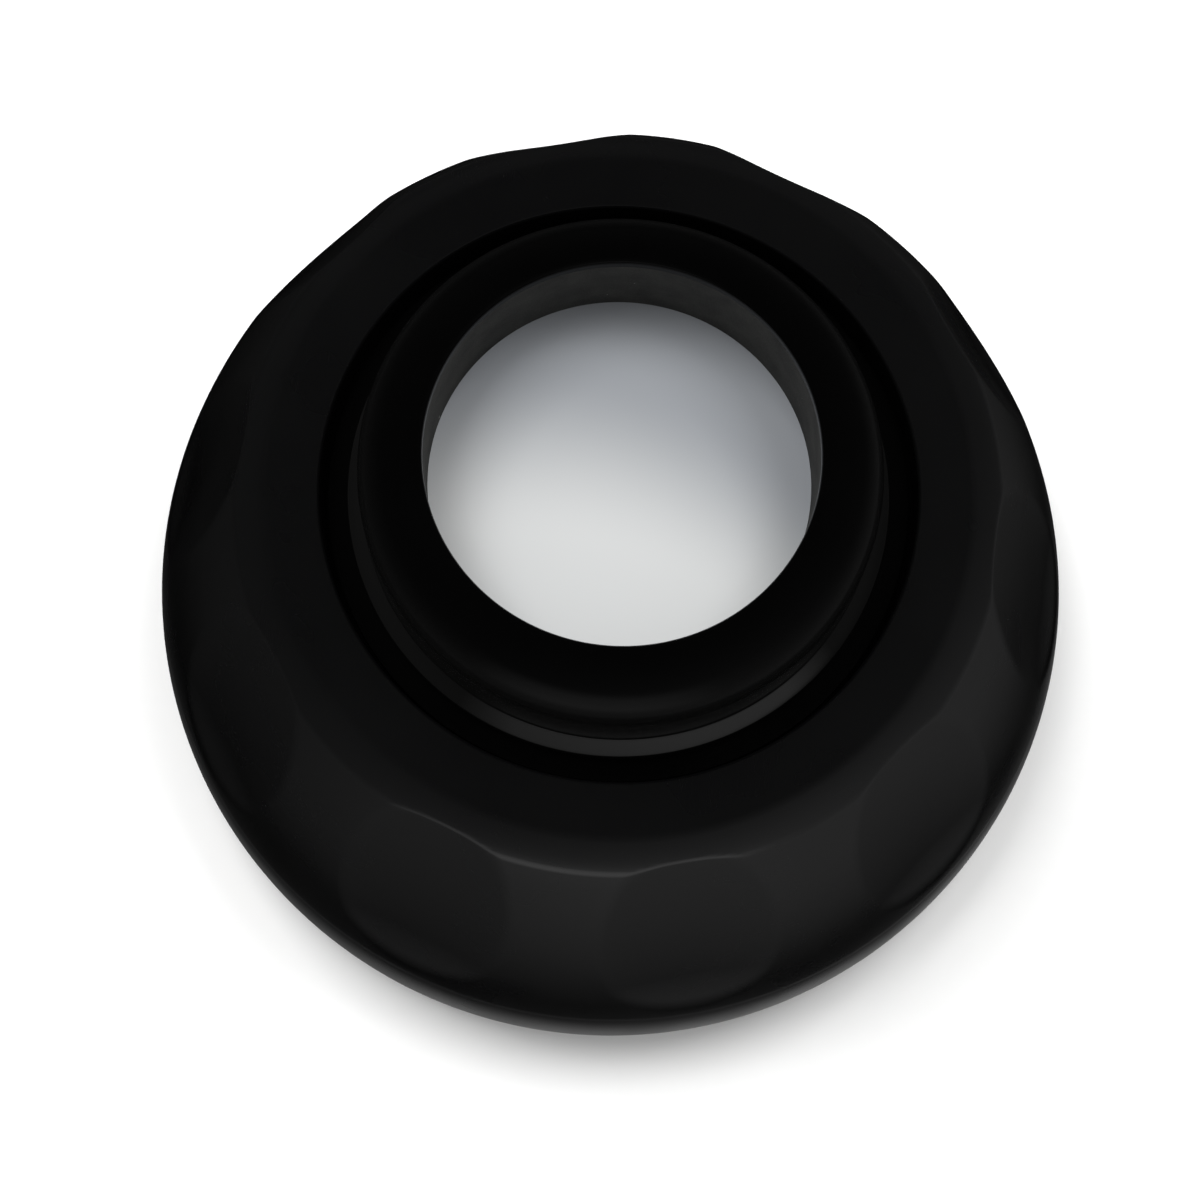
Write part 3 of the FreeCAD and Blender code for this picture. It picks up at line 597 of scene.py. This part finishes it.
def cap_outline():
    """Outline of the grip cap: rim, bulging skirt, shoulder and face outside, and its stepped inside."""
    rim_low, face = low("grip_cap"), high("grip_cap")
    widest = reach("grip_cap")
    roll_centre = (widest - ROLL_ROUND, ROLL_HEIGHT)
    foot_top = rim_low + RIM_ROUND
    roll_foot = (roll_centre[0] + math.sqrt(ROLL_ROUND ** 2 - (foot_top - ROLL_HEIGHT) ** 2), foot_top)
    rim_centre = (roll_foot[0] - RIM_ROUND, foot_top)
    face_edge = (FACE_EDGE, face)
    edge_centre = (CAP_BORE + BORE_EDGE, face - BORE_EDGE)
    ring_outer, ring_seat = reach("thread_ring"), high("thread_ring")
    groove = reach("ring_clip")
    groove_low, groove_top = low("ring_clip") - FIT, high("ring_clip")
    outside = [
        run((HOLLOW_FOOT[0], rim_low), (rim_centre[0], rim_low)),
        arc((rim_centre[0], rim_low), roll_foot, rim_centre, 15),
        *softened([
            arc(roll_foot, ROLL_TOP, roll_centre, 2.0),
            arc(ROLL_TOP, SKIRT_TOP, bulge_centre(ROLL_TOP, SKIRT_TOP, SKIRT_BULGE), 0.2),
            arc(SKIRT_TOP, face_edge, bulge_centre(SKIRT_TOP, face_edge, SHOULDER_ROUND), 3),
            run(face_edge, (edge_centre[0], face)),
        ], CREASE),
        arc((edge_centre[0], face), (CAP_BORE, edge_centre[1]), edge_centre, 15),
    ]
    inside = [
        (CAP_BORE, edge_centre[1]), (CAP_BORE, CAP_PLATE), (CAP_RECESS, CAP_PLATE),
        (CAP_RECESS, ring_seat), (ring_outer, ring_seat), (ring_outer, groove_top),
        (groove, groove_top), (groove, groove_low), (ring_outer, groove_low),
        (ring_outer, INNER_SKIRT[1]), INNER_SKIRT, (INNER_SKIRT[0], HOLLOW_ROOF[1]),
        HOLLOW_ROOF, HOLLOW_FOOT, (HOLLOW_FOOT[0], rim_low),
    ]
    return outside + [run(start, end) for start, end in zip(inside, inside[1:])]


def make_cap(finishes):
    """The scalloped grip cap."""
    shape = spin(cap_outline(), cap_angles(), scallop_shift)
    piece = new_piece("grip_cap_shell", "cap", finishes["black_moulding"], shape)
    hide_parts("grip_cap")


# ---------------------------------------------------------------- nose, liner and glass


def make_nose(finishes):
    """The bull-nosed ring: crest, mouth lip, shouldered wall and the rounded step at its foot."""
    top, foot = high("nose_ring"), low("nose_ring")
    ledge, step = high("cell_body"), reach("nose_ring")
    liner, liner_top = reach("bore_liner") + FIT, high("bore_liner")
    outline = rounded([
        (liner, foot, 0.2), (SPIGOT, foot, 0.2), (SPIGOT, ledge), (step, ledge, 0.1),
        (step, NOSE_STEP_TOP, 0.1), (NOSE_WALL, NOSE_FOOT, 0.2), (NOSE_WALL, top, NOSE_ROUND),
        (MOUTH, top, 0.4 - NEAR_ZERO), (MOUTH, liner_top), (liner, liner_top),
    ], 3.0)
    piece = new_piece("nose_bezel", "base", finishes["black_metal"],
                      spin(outline, even_angles(256)))
    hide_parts("nose_ring")


def make_liner(finishes):
    """The matt sleeve in the nose's bore."""
    bottom, top, outer = low("bore_liner"), high("bore_liner"), reach("bore_liner")
    outline = rounded([(MOUTH, bottom, 0.1), (outer, bottom, 0.1), (outer, top, 0.1), (MOUTH, top, 0.1)])
    piece = new_piece("light_trap_sleeve", "base", finishes["grey_liner"],
                      spin(outline, even_angles(256)))
    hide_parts("bore_liner")


def make_camera():
    """A camera that looks down on the prism from just in front of it, tilted a little."""
    rim = reach("grip_cap") * MM
    elevation, roll = math.radians(75.652), math.radians(4.069)
    distance, aside, above = 5.4108 * rim, -0.0241 * rim, -0.03318 * rim
    back = Vector((0, -math.cos(elevation), math.sin(elevation)))
    level, upright = Vector((1, 0, 0)), Vector((0, math.sin(elevation), math.cos(elevation)))
    right = level * math.cos(roll) + upright * math.sin(roll)
    up = upright * math.cos(roll) - level * math.sin(roll)
    spot = back * distance + right * aside + up * above + Vector((0, 0, ROLL_HEIGHT * MM))
    data = bpy.data.cameras.new("camera")
    data.lens, data.sensor_width = 72, 36
    data.clip_start, data.clip_end = 0.01, 20
    camera = bpy.data.objects.new("camera", data)
    camera.matrix_world = Matrix.Translation(spot) @ Matrix((right, up, back)).transposed().to_4x4()
    bpy.context.scene.collection.objects.link(camera)
    bpy.context.scene.camera = camera


# ---------------------------------------------------------------- floor, light and setting

BRIGHT_SIDE = 300          # bearing of the brighter end of the room, in degrees
CARD_SIDE = 268            # bearing of a white card in front of the prism
CARD_LEVEL = 0.75
ROOM_LEVEL = 0.6           # brightness of the surroundings for everything but reflections
TABLE_NEAR = 44.0          # distance from the axis, in millimetres, where the floor's painted reflection starts; nearer in it is painted shade
TABLE_REACH = 16.0         # and how quickly it gains brightness
PAINTED_RIM_LIGHT = (39.8, 37.0)    # ring of floor just under the rim with painted light in its reflection
CARD_GLOW = (90.0, 180.0)  # distances over which a painted reflection of the card begins to show in the floor
FLOOR_HALF = 3.0           # half the floor's side, in metres


def towards(finish, direction, degrees):
    """How squarely a direction points at a bearing (0 is +X, 90 is +Y): 0 when away, 1 when at it."""
    split = finish.node("ShaderNodeSeparateXYZ")
    flat = finish.node("ShaderNodeVectorMath", operation="MULTIPLY")
    finish.feed(flat.inputs[0], direction)
    flat.inputs[1].default_value = (1, 1, 0)
    unit = finish.node("ShaderNodeVectorMath", operation="NORMALIZE")
    finish.feed(unit.inputs[0], flat.outputs[0])
    finish.feed(split.inputs[0], unit.outputs[0])
    bearing = math.radians(degrees)
    part = finish.maths("MULTIPLY", split.outputs[0], math.cos(bearing) / 2)
    part = finish.maths("MULTIPLY_ADD", split.outputs[1], math.sin(bearing) / 2, part)
    return finish.maths("ADD", part, 0.5)


def distance_out(finish):
    """Distance from the optical axis, in millimetres."""
    flat = finish.node("ShaderNodeVectorMath", operation="MULTIPLY")
    finish.feed(flat.inputs[0], finish.place)
    flat.inputs[1].default_value = (1 / MM, 1 / MM, 0)
    length = finish.node("ShaderNodeVectorMath", operation="LENGTH")
    finish.feed(length.inputs[0], flat.outputs[0])
    return length.outputs["Value"]


def make_floor():
    """A plain pale floor.  In the black finish it shows a painted reflection that glows in its place:
    bright towards the front right, painted shade close to the prism, and painted light right under its rim."""
    corners = [(x * FLOOR_HALF, y * FLOOR_HALF, 0) for x, y in ((-1, -1), (1, -1), (1, 1), (-1, 1))]
    mesh = bpy.data.meshes.new("floor")
    mesh.from_pydata(corners, [], [(0, 1, 2, 3)])
    floor = bpy.data.objects.new("floor", mesh)
    bpy.context.scene.collection.objects.link(floor)
    finish = Finish("floor_paper", (0.93, 0.93, 0.93), 0.9, specular=0.0)
    grain = finish.noise(1.5, 2.0)
    finish.set("Base Color", finish.colours(grain, (0.925, 0.925, 0.92), (0.94, 0.94, 0.935)))
    out = distance_out(finish)
    # Painted shade: the floor's reflection is dark close to the prism.
    painted_shade_near = finish.maths("DIVIDE", finish.maths("SUBTRACT", TABLE_NEAR, out), TABLE_REACH)
    painted_shade_near = finish.maths("EXPONENT", painted_shade_near)
    table = finish.maths("MULTIPLY", finish.maths("MAXIMUM", finish.maths("SUBTRACT", 1.0, painted_shade_near), 0.0), 0.95)
    table = finish.maths("ADD", table, finish.ramp(out, *PAINTED_RIM_LIGHT, 0.0, 1.2))
    facing = finish.maths("POWER", towards(finish, finish.place, BRIGHT_SIDE), 2.0)
    level = finish.maths("MULTIPLY", table, finish.maths("MULTIPLY_ADD", facing, 0.25, 0.03))
    card = finish.maths("MULTIPLY", card_glow(finish, finish.place), finish.ramp(out, *CARD_GLOW))
    # Glossy rays see this glowing painted reflection instead of the lit floor.
    painted_reflection = finish.node("ShaderNodeEmission")
    finish.feed(painted_reflection.inputs["Strength"], finish.maths("ADD", level, card))
    path = finish.node("ShaderNodeLightPath")
    mix = finish.node("ShaderNodeMixShader")
    finish.feed(mix.inputs[0], path.outputs["Is Glossy Ray"])
    finish.feed(mix.inputs[1], finish.shader.outputs[0])
    finish.feed(mix.inputs[2], painted_reflection.outputs[0])
    finish.feed(finish.tree.nodes["Material Output"].inputs["Surface"], mix.outputs[0])
    mesh.materials.append(finish.material)


def card_glow(finish, direction):
    """The glow of a white card that stands in front of the prism, by bearing."""
    return finish.ramp(towards(finish, direction, CARD_SIDE), 0.9, 0.99, 0.0, CARD_LEVEL)


class Surroundings(Finish):
    """The world's node tree, with the same helpers."""

    def __init__(self, world):
        world.use_nodes = True
        self.tree = world.node_tree
        self.shader = self.tree.nodes["Background"]
        self.place = self.node("ShaderNodeTexCoord").outputs["Generated"]


def make_world():
    """Even pale surroundings.  Reflections see a dim room, brighter at the front right, and a card."""
    world = bpy.data.worlds.new("studio")
    bpy.context.scene.world = world
    room = Surroundings(world)
    aim = room.node("ShaderNodeVectorMath", operation="DOT_PRODUCT")
    side, up = math.radians(BRIGHT_SIDE), math.radians(10)
    room.feed(aim.inputs[0], room.place)
    aim.inputs[1].default_value = (math.cos(side) * math.cos(up), math.sin(side) * math.cos(up), math.sin(up))
    split = room.node("ShaderNodeSeparateXYZ")
    room.feed(split.inputs[0], room.place)
    facing = room.maths("POWER", room.maths("MULTIPLY_ADD", aim.outputs["Value"], 0.5, 0.5), 3.5)
    level = room.maths("MULTIPLY_ADD", facing, 0.25, room.ramp(split.outputs[2], 0.5, 0.95, 0.06, 0.012))
    card = room.maths("MULTIPLY", card_glow(room, room.place), room.ramp(split.outputs[2], 0.36, 0.15))
    path = room.node("ShaderNodeLightPath")
    mix = room.node("ShaderNodeMix", data_type="FLOAT")
    room.feed(mix.inputs[0], path.outputs["Is Glossy Ray"])
    mix.inputs[2].default_value = ROOM_LEVEL
    room.feed(mix.inputs[3], room.maths("ADD", level, card))
    room.set("Strength", mix.outputs[0])
    room.set("Color", (1, 1, 1, 1))


def make_panel(name, azimuth, elevation, distance, width, height, power):
    """A soft rectangular light that faces the prism. Azimuth 0 is +X and 90 is +Y, in degrees."""
    data = bpy.data.lights.new(name, "AREA")
    data.shape = "RECTANGLE"
    data.size, data.size_y = width, height
    data.energy = power
    a, e = math.radians(azimuth), math.radians(elevation)
    way = Vector((math.cos(a) * math.cos(e), math.sin(a) * math.cos(e), math.sin(e)))
    light = bpy.data.objects.new(name, data)
    aim = Vector((0, 0, high("nose_ring") * MM / 2))
    light.location = aim + way * distance
    light.rotation_mode = "QUATERNION"
    light.rotation_quaternion = way.to_track_quat("Z", "Y")
    light.visible_glossy = False
    bpy.context.scene.collection.objects.link(light)


def make_lights():
    """A large soft panel high on the left and behind, and a weaker one high on the right."""
    make_panel("key", 143, 62, 0.9, 0.5, 0.5, 6.0)
    make_panel("fill", 40, 60, 0.9, 0.4, 0.4, 3.4)


def make_everything():
    scene = bpy.context.scene
    scene.view_settings.view_transform = "Standard"
    finishes = all_materials()
    for row in frame["record"]["subparts"]:
        node = frame["nodes"][row["node"]]
        node.data.materials.clear()
        node.data.materials.append(finishes[row["material_slot"]])
    frame["nodes"]["cell_body"].data.materials[0] = blackened_metal()
    make_cap(finishes)
    make_nose(finishes)
    make_liner(finishes)
    make_floor()
    make_world()
    make_lights()
    make_camera()


make_everything()
